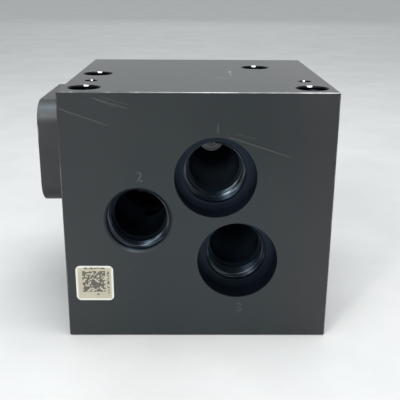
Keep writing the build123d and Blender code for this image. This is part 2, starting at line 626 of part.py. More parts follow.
def logic_poppet():
    """Hollow poppet that slides in the sleeve and closes on its seat."""
    radius = POPPET_RADIUS - RUNNING_CLEARANCE
    cone_start = SEAT_EDGE - SEAT_GAP
    nose = cone_start + radius - POPPET_NOSE_RADIUS
    return LOGIC_AXIS * turned(
        (POPPET_SPRING_BORE, POPPET_TAIL),
        (radius - SLEEVE_CHAMFER, POPPET_TAIL),
        (radius, POPPET_TAIL + SLEEVE_CHAMFER),
        (radius, cone_start),
        (POPPET_NOSE_RADIUS, nose),
        (0, nose),
        (0, POPPET_FLOOR),
        (POPPET_SPRING_BORE, POPPET_FLOOR),
    )


def logic_spring():
    """Closing spring, from the cover's chamber to the floor of the poppet."""
    mean = POPPET_SPRING_BORE - LOGIC_SPRING_WIRE_RADIUS - LOGIC_SPRING_SIDE_GAP
    start = -SPRING_CHAMBER_DEPTH
    return LOGIC_AXIS * coil_spring(mean, LOGIC_SPRING_WIRE_RADIUS, start, POPPET_FLOOR, LOGIC_SPRING_TURNS)


def sleeve_seals():
    """A sealing ring in each groove of the sleeve."""
    section = SLEEVE_SEAL_SECTION
    return [
        LOGIC_AXIS * ring(SLEEVE_GROOVE_FLOOR, section, SLEEVE_GROOVE_END - section),
        LOGIC_AXIS * ring(SLEEVE_NOSE_GROOVE_FLOOR, section, SLEEVE_NOSE_GROOVE_START + section),
    ]


def sleeve_backup_rings():
    """A stiff ring behind each sealing ring of the sleeve."""
    first = SLEEVE_GROOVE_START + BACKUP_RING_END_GAP
    last = SLEEVE_NOSE_GROOVE_END - BACKUP_RING_END_GAP
    return [
        LOGIC_AXIS * tube(SLEEVE_RADIUS, SLEEVE_GROOVE_FLOOR, first, first + BACKUP_RING_WIDTH),
        LOGIC_AXIS * tube(SLEEVE_NOSE_RADIUS, SLEEVE_NOSE_GROOVE_FLOOR, last - BACKUP_RING_WIDTH, last),
    ]


# Relief cartridge
HEX_TOP = -CAGE_HEX_HEIGHT
BONNET_TOP = HEX_TOP - BONNET_HEIGHT
CHAMBER_END = BONNET_TOP + BONNET_END_WALL
CAGE_NOSE_RADIUS = RELIEF_NOSE_RADIUS - NOSE_CLEARANCE
NOSE_END = RELIEF_NOSE_DEPTH - END_GAP
NOSE_RECESS_FLOOR = NOSE_END - NOSE_RECESS_DEPTH
NOSE_GROOVE_END = NOSE_GROOVE_START + NOSE_GROOVE_WIDTH
SEAT_STEP = RELIEF_BORE_DEPTH - SEAT_TO_STEP
SEAT_FACE = SEAT_STEP - SEAT_FLANGE_THICKNESS
FLOW_START = SEAT_FACE - FLOW_LENGTH
POPPET_END = GUIDE_START - POPPET_BEYOND_GUIDE
FOLLOWER_FACE = POPPET_END - SPRING_CUP_THICKNESS
PLATE_FACE = FOLLOWER_FACE - RELIEF_SPRING_LENGTH
PLATE_BACK = PLATE_FACE - SPRING_CUP_THICKNESS
RELIEF_SPRING_RADIUS = CHAMBER_RADIUS - RELIEF_SPRING_WIRE_RADIUS - RELIEF_SPRING_SIDE_GAP
SCREW_SEAL_PLACE = (BONNET_TOP + CHAMBER_END) / 2


def chamfered_hexagon(across_flats, start, end, bevel):
    """A hexagonal head whose corners are turned off at both ends."""
    flat = across_flats / 2
    corner = flat / math.cos(math.radians(30))
    turned_off = turned(
        (0, start),
        (flat, start),
        (corner + TURNING_MARGIN, start + bevel),
        (corner + TURNING_MARGIN, end - bevel),
        (flat, end),
        (0, end),
    )
    return hexagon(across_flats, start, end) & turned_off


def relief_cage():
    """Cartridge body: bonnet, hexagon, thread, barrel and nose."""
    thread = RELIEF_THREAD_RADIUS - THREAD_CLEARANCE
    shoulder = RELIEF_BORE_DEPTH - END_GAP
    body = turned(
        (ADJUST_SCREW_RADIUS, BONNET_TOP),
        (BONNET_RADIUS - BONNET_CHAMFER, BONNET_TOP),
        (BONNET_RADIUS, BONNET_TOP + BONNET_CHAMFER),
        (BONNET_RADIUS, 0),
        (HEAD_NECK_RADIUS, 0),
        (HEAD_NECK_RADIUS, SEAL_POCKET_DEPTH),
        (thread, SEAL_POCKET_DEPTH + THREAD_START_TAPER),
        (thread, RELIEF_THREAD_DEPTH - THREAD_RUNOUT_START),
        (CAGE_BARREL_RADIUS, RELIEF_THREAD_DEPTH - THREAD_RUNOUT_END),
        (CAGE_BARREL_RADIUS, shoulder),
        (CAGE_NOSE_RADIUS, shoulder),
        (CAGE_NOSE_RADIUS, NOSE_GROOVE_START),
        (NOSE_GROOVE_FLOOR, NOSE_GROOVE_START),
        (NOSE_GROOVE_FLOOR, NOSE_GROOVE_END),
        (CAGE_NOSE_RADIUS, NOSE_GROOVE_END),
        (CAGE_NOSE_RADIUS, NOSE_END - FINE_CHAMFER),
        (CAGE_NOSE_RADIUS - FINE_CHAMFER, NOSE_END),
        (NOSE_RECESS_RADIUS, NOSE_END),
        (NOSE_RECESS_RADIUS, NOSE_RECESS_FLOOR),
        (SEAT_BODY_RADIUS, NOSE_RECESS_FLOOR),
        (SEAT_BODY_RADIUS, SEAT_STEP),
        (FLOW_RADIUS, SEAT_STEP),
        (FLOW_RADIUS, FLOW_START),
        (RELIEF_POPPET_RADIUS, FLOW_START),
        (RELIEF_POPPET_RADIUS, GUIDE_START),
        (CHAMBER_RADIUS, GUIDE_START),
        (CHAMBER_RADIUS, CHAMBER_END),
        (ADJUST_SCREW_RADIUS, CHAMBER_END),
    )
    blank = chamfered_hexagon(CAGE_HEX, HEX_TOP, 0, CAGE_HEX_CHAMFER)
    body += blank - bar(BONNET_RADIUS - HEX_OVERLAP, HEX_TOP, 0)
    hole_place = (FLOW_START + SEAT_FACE) / 2 + CAGE_HOLE_BEYOND_MIDDLE
    hole = cross_hole(CAGE_HOLE_RADIUS, CAGE_BARREL_RADIUS + DRILL_OVERRUN, hole_place)
    for radial_hole in around(CAGE_HOLE_COUNT, hole):
        body -= radial_hole
    section = SCREW_SEAL_SECTION
    groove_floor = ADJUST_SCREW_RADIUS + 2 * section
    seal_space = bar(groove_floor, SCREW_SEAL_PLACE - section, SCREW_SEAL_PLACE + section)
    return RELIEF_AXIS * (body - seal_space)


def relief_seat():
    """Seat, whose end shows in the middle of the nose."""
    end = NOSE_END - END_GAP
    return RELIEF_AXIS * turned(
        (SEAT_HOLE_RADIUS + SEAT_CHAMFER, SEAT_FACE),
        (FLOW_RADIUS, SEAT_FACE),
        (FLOW_RADIUS, SEAT_STEP),
        (SEAT_BODY_RADIUS, SEAT_STEP),
        (SEAT_BODY_RADIUS, end - FINE_CHAMFER),
        (SEAT_BODY_RADIUS - FINE_CHAMFER, end),
        (SEAT_HOLE_RADIUS, end),
        (SEAT_HOLE_RADIUS, SEAT_FACE + SEAT_CHAMFER),
    )


def relief_poppet():
    """Guided poppet with a cone that closes on the seat and a balance hole along its axis."""
    guide = RELIEF_POPPET_RADIUS - RUNNING_CLEARANCE
    neck = guide * RELIEF_NECK_SHARE
    head = SEAT_HOLE_RADIUS + SEAT_CHAMFER + RELIEF_HEAD_OVERLAP
    tip = SEAT_HOLE_RADIUS - RELIEF_TIP_UNDER_SEAT
    cone_start = SEAT_FACE - RELIEF_HEAD_OVERLAP - 2 * SEAT_GAP
    head_back = cone_start - RELIEF_HEAD_THICKNESS
    guide_end = FLOW_START - RELIEF_GUIDE_SHORT_OF_FLOW
    return RELIEF_AXIS * turned(
        (BALANCE_HOLE_RADIUS, POPPET_END),
        (guide - FINE_CHAMFER, POPPET_END),
        (guide, POPPET_END + FINE_CHAMFER),
        (guide, guide_end),
        (neck, guide_end + RELIEF_NECK_TAPER),
        (neck, head_back - RELIEF_HEAD_TAPER),
        (head, head_back),
        (head, cone_start),
        (tip, cone_start + head - tip),
        (BALANCE_HOLE_RADIUS, cone_start + head - tip),
    )


def spring_cup(face, back):
    """A disc with a spigot that centres the relief spring, which bears on its face."""
    towards_spring = math.copysign(SPRING_CUP_SPIGOT, face - back)
    disc = CHAMBER_RADIUS - SPRING_CUP_CLEARANCE
    spigot = RELIEF_SPRING_RADIUS - RELIEF_SPRING_WIRE_RADIUS - SPRING_CUP_CLEARANCE
    spigot_ends = sorted((back, face + towards_spring))
    return bar(disc, *sorted((face, back))) + bar(spigot, *spigot_ends)


def relief_spring():
    return RELIEF_AXIS * coil_spring(
        RELIEF_SPRING_RADIUS, RELIEF_SPRING_WIRE_RADIUS, PLATE_FACE, FOLLOWER_FACE, RELIEF_SPRING_TURNS
    )


def adjust_screw():
    """Socket set screw that loads the spring plate."""
    radius = ADJUST_SCREW_RADIUS - THREAD_CLEARANCE
    outer = PLATE_BACK - ADJUST_SCREW_LENGTH
    body = turned(
        (0, outer),
        (radius - SET_SCREW_OUTER_CHAMFER, outer),
        (radius, outer + SET_SCREW_OUTER_CHAMFER),
        (radius, PLATE_BACK - SET_SCREW_INNER_CHAMFER),
        (radius - SET_SCREW_INNER_CHAMFER, PLATE_BACK),
        (0, PLATE_BACK),
    )
    return RELIEF_AXIS * (body - hexagon(ADJUST_SCREW_SOCKET, outer, outer + ADJUST_SCREW_SOCKET))


def adjust_lock_nut():
    top = BONNET_TOP - LOCK_NUT_HEIGHT
    blank = chamfered_hexagon(LOCK_NUT_HEX, top, BONNET_TOP, LOCK_NUT_CHAMFER)
    return RELIEF_AXIS * (blank - bar(ADJUST_SCREW_RADIUS, top, BONNET_TOP))


def relief_head_seal():
    """Sealing ring in the pocket under the cartridge's hexagon."""
    section = (SEAL_POCKET_RADIUS - HEAD_NECK_RADIUS) / 2
    return RELIEF_AXIS * ring(HEAD_NECK_RADIUS, section, SEAL_POCKET_DEPTH / 2)


def relief_nose_seal():
    section = (RELIEF_NOSE_RADIUS - NOSE_GROOVE_FLOOR) / 2
    return RELIEF_AXIS * ring(NOSE_GROOVE_FLOOR, section, (NOSE_GROOVE_START + NOSE_GROOVE_END) / 2)


def relief_nose_backup_rings():
    """A stiff ring on each side of the nose's sealing ring."""
    first = NOSE_GROOVE_START + BACKUP_RING_END_GAP
    last = NOSE_GROOVE_END - BACKUP_RING_END_GAP
    return [
        RELIEF_AXIS * tube(CAGE_NOSE_RADIUS, NOSE_GROOVE_FLOOR, first, first + BACKUP_RING_WIDTH),
        RELIEF_AXIS * tube(CAGE_NOSE_RADIUS, NOSE_GROOVE_FLOOR, last - BACKUP_RING_WIDTH, last),
    ]


# Check valve
CHECK_RADIUS = CHECK_BORE_RADIUS - RUNNING_CLEARANCE
CHECK_END = CHECK_BORE_DEPTH - END_GAP
CHECK_START = CHECK_END - CHECK_LENGTH
CHECK_SEAT_END = CHECK_START + CHECK_SEAT_LENGTH
CHECK_FLOOR_START = CHECK_END - CHECK_FLOOR
CHECK_GROOVE_START = CHECK_END - CHECK_GROOVE_FROM_END - CHECK_GROOVE_WIDTH
CHECK_GROOVE_END = CHECK_END - CHECK_GROOVE_FROM_END
CHECK_GROOVE_FLOOR = CHECK_BORE_RADIUS - 2 * CHECK_SEAL_SECTION
CHECK_SHOULDER = CHECK_SEAT_END + CHECK_HEAD_RADIUS - CHECK_SEAT_HOLE_RADIUS - CHECK_SEAT_CHAMFER + SEAT_GAP
CHECK_HEAD_BACK = CHECK_SHOULDER + CHECK_HEAD_THICKNESS


def check_seat():
    """Seat ring on the inlet side of the check valve."""
    return CHECK_AXIS * turned(
        (CHECK_SEAT_HOLE_RADIUS, CHECK_START),
        (CHECK_RADIUS - SMALL_CHAMFER, CHECK_START),
        (CHECK_RADIUS, CHECK_START + SMALL_CHAMFER),
        (CHECK_RADIUS, CHECK_SEAT_END),
        (CHECK_SEAT_HOLE_RADIUS + CHECK_SEAT_CHAMFER, CHECK_SEAT_END),
        (CHECK_SEAT_HOLE_RADIUS, CHECK_SEAT_END - CHECK_SEAT_CHAMFER),
    )


def check_cage():
    """Cup that guides the check poppet's stem and lets the oil through its floor."""
    inner = CHECK_RADIUS - CHECK_WALL
    body = turned(
        (inner, CHECK_SEAT_END),
        (CHECK_RADIUS, CHECK_SEAT_END),
        (CHECK_RADIUS, CHECK_GROOVE_START),
        (CHECK_GROOVE_FLOOR, CHECK_GROOVE_START),
        (CHECK_GROOVE_FLOOR, CHECK_GROOVE_END),
        (CHECK_RADIUS, CHECK_GROOVE_END),
        (CHECK_RADIUS, CHECK_END - SMALL_CHAMFER),
        (CHECK_RADIUS - SMALL_CHAMFER, CHECK_END),
        (CHECK_STEM_RADIUS, CHECK_END),
        (CHECK_STEM_RADIUS, CHECK_FLOOR_START),
        (inner, CHECK_FLOOR_START),
    )
    hole = Pos(CHECK_FLOW_HOLE_PLACE, 0, 0) * bar(CHECK_FLOW_HOLE_RADIUS, CHECK_FLOOR_START, CHECK_END)
    for flow_hole in around(CHECK_FLOW_HOLE_COUNT, hole):
        body -= flow_hole
    return CHECK_AXIS * body


def check_poppet():
    """Conical poppet on a guided stem."""
    stem = CHECK_STEM_RADIUS - RUNNING_CLEARANCE
    nose = CHECK_SHOULDER - (CHECK_HEAD_RADIUS - CHECK_NOSE_RADIUS)
    return CHECK_AXIS * turned(
        (0, nose),
        (CHECK_NOSE_RADIUS, nose),
        (CHECK_HEAD_RADIUS, CHECK_SHOULDER),
        (CHECK_HEAD_RADIUS, CHECK_HEAD_BACK),
        (stem, CHECK_HEAD_BACK),
        (stem, CHECK_END - CHECK_STEM_SHORT_OF_END),
        (0, CHECK_END - CHECK_STEM_SHORT_OF_END),
    )


def check_spring():
    mean = CHECK_STEM_RADIUS + CHECK_SPRING_WIRE_RADIUS + CHECK_SPRING_SIDE_GAP
    return CHECK_AXIS * coil_spring(
        mean, CHECK_SPRING_WIRE_RADIUS, CHECK_HEAD_BACK, CHECK_FLOOR_START, CHECK_SPRING_TURNS
    )


def check_seal():
    middle = (CHECK_GROOVE_START + CHECK_GROOVE_END) / 2
    return CHECK_AXIS * ring(CHECK_GROOVE_FLOOR, CHECK_SEAL_SECTION, middle)


# Plugs
def plug(seat):
    """Hexagon socket plug with a collar, for a washer that lies on the face at this depth."""
    collar = seat - PLUG_WASHER_THICKNESS
    top = collar - PLUG_COLLAR_HEIGHT
    thread = PLUG_THREAD_RADIUS - THREAD_CLEARANCE
    end = seat + PLUG_THREAD_LENGTH
    body = turned(
        (0, top),
        (PLUG_COLLAR_RADIUS - COLLAR_CHAMFER, top),
        (PLUG_COLLAR_RADIUS, top + COLLAR_CHAMFER),
        (PLUG_COLLAR_RADIUS, collar),
        (thread, collar),
        (thread, end - THREAD_LEAD),
        (thread - THREAD_LEAD, end),
        (0, end),
    )
    return body - hexagon(PLUG_SOCKET, top, top + PLUG_SOCKET_DEPTH)


def plug_washer(seat):
    """Sealing washer under a plug's collar."""
    outer = PLUG_COLLAR_RADIUS - PLUG_WASHER_INSET
    return tube(outer, PLUG_THREAD_RADIUS, seat - PLUG_WASHER_THICKNESS, seat)


NODES = {
    "valve_body": valve_body(),
    "identification_label": identification_label(),
    "side_cover": side_cover(),
    "cover_screws": cover_screws(),
    "cover_seal": LOGIC_AXIS * ring(COVER_SEAL_INNER_RADIUS, COVER_SEAL_SECTION, -COVER_SEAL_SECTION),
    "jet_seal": PILOT_AXIS * ring(JET_SEAL_INNER_RADIUS, JET_SEAL_SECTION, -JET_SEAL_SECTION),
    "pilot_jet": pilot_jet(),
    "pilot_port_plug": pilot_port_plug(),
    "logic_sleeve": logic_sleeve(),
    "logic_poppet": logic_poppet(),
    "logic_spring": logic_spring(),
    "sleeve_seals": sleeve_seals(),
    "sleeve_backup_rings": sleeve_backup_rings(),
    "relief_cage": relief_cage(),
    "relief_seat": relief_seat(),
    "relief_poppet": relief_poppet(),
    "relief_spring_follower": RELIEF_AXIS * spring_cup(FOLLOWER_FACE, POPPET_END),
    "relief_spring": relief_spring(),
    "relief_spring_plate": RELIEF_AXIS * spring_cup(PLATE_FACE, PLATE_BACK),
    "adjust_screw": adjust_screw(),
    "adjust_screw_seal": RELIEF_AXIS * ring(ADJUST_SCREW_RADIUS, SCREW_SEAL_SECTION, SCREW_SEAL_PLACE),
    "adjust_lock_nut": adjust_lock_nut(),
    "relief_head_seal": relief_head_seal(),
    "relief_nose_seal": relief_nose_seal(),
    "relief_nose_backup_rings": relief_nose_backup_rings(),
    "check_seat": check_seat(),
    "check_cage": check_cage(),
    "check_poppet": check_poppet(),
    "check_spring": check_spring(),
    "check_seal": check_seal(),
    "check_bore_plug": CHECK_AXIS * plug(0),
    "check_bore_washer": CHECK_AXIS * plug_washer(0),
    "gallery_plug": GALLERY_AXIS * plug(BASE_RECESS_DEPTH),
    "gallery_washer": GALLERY_AXIS * plug_washer(BASE_RECESS_DEPTH),
}

os.makedirs("parts", exist_ok=True)
for name, shape in NODES.items():
    solids = shape if isinstance(shape, list) else [shape]
    whole = Compound(children=solids) if len(solids) > 1 else solids[0]
    export_step(whole, f"parts/{name}.step")
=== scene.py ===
import json
import math

import bmesh
import bpy
from mathutils import Matrix, Vector


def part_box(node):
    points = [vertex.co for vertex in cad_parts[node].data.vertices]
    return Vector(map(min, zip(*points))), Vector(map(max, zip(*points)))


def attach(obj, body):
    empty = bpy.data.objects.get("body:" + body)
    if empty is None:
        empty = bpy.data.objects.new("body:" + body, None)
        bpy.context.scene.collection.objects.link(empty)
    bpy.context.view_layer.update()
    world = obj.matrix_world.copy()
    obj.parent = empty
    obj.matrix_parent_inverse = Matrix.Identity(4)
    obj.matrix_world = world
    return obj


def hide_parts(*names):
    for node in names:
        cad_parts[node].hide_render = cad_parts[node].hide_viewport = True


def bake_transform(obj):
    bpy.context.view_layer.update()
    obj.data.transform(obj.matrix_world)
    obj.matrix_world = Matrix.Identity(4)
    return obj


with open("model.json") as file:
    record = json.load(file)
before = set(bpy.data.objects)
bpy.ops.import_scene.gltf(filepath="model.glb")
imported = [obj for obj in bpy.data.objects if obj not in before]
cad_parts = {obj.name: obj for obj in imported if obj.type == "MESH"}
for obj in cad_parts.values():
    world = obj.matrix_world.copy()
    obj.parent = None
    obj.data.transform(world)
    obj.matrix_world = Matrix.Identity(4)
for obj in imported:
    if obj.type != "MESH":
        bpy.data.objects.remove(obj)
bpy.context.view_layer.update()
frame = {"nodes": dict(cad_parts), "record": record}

MM = 0.001

# ---------------------------------------------------------------- sizes of the threads, in metres
PIPE_THREAD_PITCH = 2.309 * MM
PIPE_THREAD_RADIUS = 16.625 * MM
PIPE_THREAD_DEPTH = 1.48 * MM
MOUNT_THREAD_PITCH = 2.0 * MM
MOUNT_THREAD_RADIUS = 8.0 * MM
MOUNT_THREAD_DEPTH = 1.08 * MM
ADJUST_THREAD_PITCH = 1.5 * MM
ADJUST_THREAD_DEPTH = 0.9 * MM
ADJUST_SOCKET_RADIUS = 2.88 * MM
ADJUST_SOCKET_DEPTH = 5.0 * MM
THREAD_ROOT_SINK = 0.05 * MM
THREAD_STEPS = 48
RUNOUT = 0.9 * MM
# half the ridge's width along its axis at the wall and at the crest, as shares of the pitch
RIDGE_ROOT_SHARE = 0.40
RIDGE_CREST_SHARE = 0.06
# angle in degrees below which an added piece is shaded smooth, and how near its points are joined
SMOOTH_ANGLE = 35
MERGE_DISTANCE = 0.001 * MM
# how far along the relief spring, from its front, the two parts meet
RELIEF_COIL_CUT = 0.66

# ---------------------------------------------------------------- the port numbers
NUMBER_HEIGHT = 5.2 * MM
NUMBER_STAND = 0.06 * MM
NUMBER_WEIGHT = 0.10 * MM
DIGIT_SHARE = 0.70
# each number: its piece, its digit, and the middle (x) and the foot (z) of the digit on the front face
PORT_NUMBERS = (
    ("dump_number", "1", 0.0098, 0.1134),
    ("flush_number", "2", -0.0300, 0.0882),
    ("inlet_number", "3", 0.0226, 0.0148),
)

# ---------------------------------------------------------------- camera
CAMERA_PLACE = (-0.0025, -0.3951, 0.1857)
CAMERA_YAW = 0.623
CAMERA_PITCH = 18.25
CAMERA_ROLL = 0.340
CAMERA_LENS = 59.9
CAMERA_SENSOR = 36.0
FLOOR_REACH = 16.0

block_low, block_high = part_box("valve_body")
label_low, label_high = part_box("identification_label")
screw_low, screw_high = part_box("adjust_screw")
mounts = {m["name"]: m for m in frame["record"]["mounts"]}


# ================================================================ node helpers
class Finish:
    """A material under construction, with short ways to add the nodes that its pattern needs."""

    def __init__(self, name):
        self.material = bpy.data.materials.new(name)
        self.material.use_nodes = True
        self.tree = self.material.node_tree
        self.shader = self.tree.nodes["Principled BSDF"]
        self.place = self.tree.nodes.new("ShaderNodeTexCoord")

    def node(self, kind, **settings):
        made = self.tree.nodes.new(kind)
        for key, value in settings.items():
            setattr(made, key, value)
        return made

    def feed(self, socket, value):
        if isinstance(value, bpy.types.NodeSocket):
            self.tree.links.new(value, socket)
        else:
            socket.default_value = value

    def where(self, scale=(1, 1, 1), turn=(0, 0, 0), shift=(0, 0, 0)):
        mapping = self.node("ShaderNodeMapping")
        self.feed(mapping.inputs["Vector"], self.place.outputs["Object"])
        mapping.inputs["Scale"].default_value = scale
        mapping.inputs["Rotation"].default_value = turn
        mapping.inputs["Location"].default_value = shift
        return mapping.outputs["Vector"]

    def along(self, axis, vector=None):
        split = self.node("ShaderNodeSeparateXYZ")
        self.feed(split.inputs[0], vector or self.place.outputs["Object"])
        return split.outputs[axis]

    def math(self, operation, a, b=0.0, c=0.0):
        made = self.node("ShaderNodeMath", operation=operation)
        for socket, value in zip(made.inputs, (a, b, c)):
            self.feed(socket, value)
        return made.outputs[0]

    def noise(self, scale, detail=4.0, rough=0.55, vector=None):
        made = self.node("ShaderNodeTexNoise")
        self.feed(made.inputs["Vector"], vector or self.place.outputs["Object"])
        made.inputs["Scale"].default_value = scale
        made.inputs["Detail"].default_value = detail
        made.inputs["Roughness"].default_value = rough
        return made.outputs["Fac"]

    def step(self, value, low, high, to_low=0.0, to_high=1.0):
        made = self.node("ShaderNodeMapRange", interpolation_type="SMOOTHSTEP")
        for socket, given in zip(made.inputs, (value, low, high, to_low, to_high)):
            self.feed(socket, given)
        return made.outputs[0]

    def blend(self, amount, a, b):
        made = self.node("ShaderNodeMix", data_type="RGBA")
        for key, given in (("Factor_Float", amount), ("A_Color", a), ("B_Color", b)):
            socket = next(s for s in made.inputs if s.identifier == key)
            self.feed(socket, given)
        return next(s for s in made.outputs if s.identifier == "Result_Color")

    def mix_number(self, amount, a, b):
        made = self.node("ShaderNodeMix", data_type="FLOAT")
        for key, given in (("Factor_Float", amount), ("A_Float", a), ("B_Float", b)):
            socket = next(s for s in made.inputs if s.identifier == key)
            self.feed(socket, given)
        return next(s for s in made.outputs if s.identifier == "Result_Float")

    def most(self, *values):
        result = values[0]
        for value in values[1:]:
            result = self.math("MAXIMUM", result, value)
        return result

    def bump(self, height, strength, distance):
        made = self.node("ShaderNodeBump")
        made.inputs["Strength"].default_value = strength
        made.inputs["Distance"].default_value = distance
        self.feed(made.inputs["Height"], height)
        self.feed(self.shader.inputs["Normal"], made.outputs["Normal"])

    def set(self, **sockets):
        for name, value in sockets.items():
            self.feed(self.shader.inputs[name.replace("_", " ")], value)


def grey(*rgb):
    return (*rgb, 1.0)


# ================================================================ finishes
BLOCK_SLATE = grey(0.017, 0.024, 0.026)
BLOCK_SLATE_HIGH = grey(0.011, 0.016, 0.018)
BLOCK_WARM = grey(0.033, 0.030, 0.033)
# bare steel: the colour of real wear and scratches, and also of the painted highlights
BARE_STEEL_AND_GLINT = grey(0.46, 0.47, 0.46)
# painted shade: near black for the ports' inner ends and the top holes; painted light: the paler bluish
# tone the ports' walls take deeper in
BORE_PAINTED_SHADE = grey(0.0030, 0.0046, 0.0072)
PORT_MOUTH = grey(0.015, 0.023, 0.036)
BORE_PAINTED_LIGHT = grey(0.105, 0.165, 0.240)

# zones of the block's painted shade and light: how far down the top holes are painted near black as shade,
# and how far their lips reach down, which carry a painted glint on their rear arc, and along Y where the
# ports' walls change tone from the dark mouth to paler painted light, and where their inner ends, painted
# near black as shade, begin
TOP_HOLE_REACH = 25 * MM
HOLE_LIP = 0.72 * MM
BORE_TONE_START = -0.050
BORE_TONE_END = -0.010
BORE_END_START = -0.020
OUTER_SKIN = 0.9 * MM
TOP_SKIN = 0.05 * MM
COVER_EDGE_WEAR = 0.7 * MM

# past this depth the faces of the relief cartridge's nose are dark, partly as painted shade
NOSE_FACE_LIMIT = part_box("relief_cage")[0].y + 0.8 * MM

# each scratch: its two ends on the front face (x, z), its half width and its strength
FRONT_SCRATCHES = (
    ((-0.0700, 0.1262), (-0.0440, 0.1168), 0.00009, 0.15),
    ((-0.0530, 0.1312), (-0.0340, 0.1255), 0.00009, 0.13),
    ((-0.0510, 0.1302), (-0.0400, 0.1262), 0.00008, 0.11),
    ((-0.0490, 0.1318), (-0.0330, 0.1272), 0.00007, 0.09),
    ((0.0140, 0.1118), (0.0500, 0.1003), 0.00010, 0.13),
    ((0.0180, 0.1128), (0.0300, 0.1107), 0.00007, 0.08),
)

# the scribed mark on the top face: its strokes (x, y)
TOP_SCRIBES = (
    ((0.0085, -0.0205), (0.0215, -0.0200), 0.00026, 0.34),
    ((0.0190, -0.0130), (0.0192, 0.0080), 0.00018, 0.30),
    ((0.0187, 0.0045), (0.0195, 0.0085), 0.00035, 0.85),
)


def stroke(finish, across, up, ends, half_width):
    """1 on a straight stroke between two points of a face, 0 away from it."""
    (ax, ay), (bx, by) = ends
    length = math.hypot(bx - ax, by - ay)
    ux, uy = (bx - ax) / length, (by - ay) / length
    from_x = finish.math("SUBTRACT", across, ax)
    from_y = finish.math("SUBTRACT", up, ay)
    run = finish.math("ADD", finish.math("MULTIPLY", from_x, ux), finish.math("MULTIPLY", from_y, uy))
    off = finish.math("SUBTRACT", finish.math("MULTIPLY", from_x, uy), finish.math("MULTIPLY", from_y, ux))
    on_line = finish.step(finish.math("ABSOLUTE", off), half_width, half_width * 2.2, 1.0, 0.0)
    begun = finish.step(run, 0.0, length * 0.08)
    ended = finish.step(run, length * 0.85, length, 1.0, 0.0)
    return finish.math("MULTIPLY", on_line, finish.math("MULTIPLY", begun, ended))


def strokes(finish, across, up, lines, on_face):
    """All the strokes of one face together, each at its own strength."""
    drawn = [
        finish.math("MULTIPLY", stroke(finish, across, up, line[:2], line[2]), line[3])
        for line in lines
    ]
    return finish.math("MULTIPLY", finish.most(*drawn), on_face)


def near_face(finish, value, limit, depth):
    """1 within depth of a face of the block, 0 further in."""
    return finish.math("GREATER_THAN", value, limit - depth)


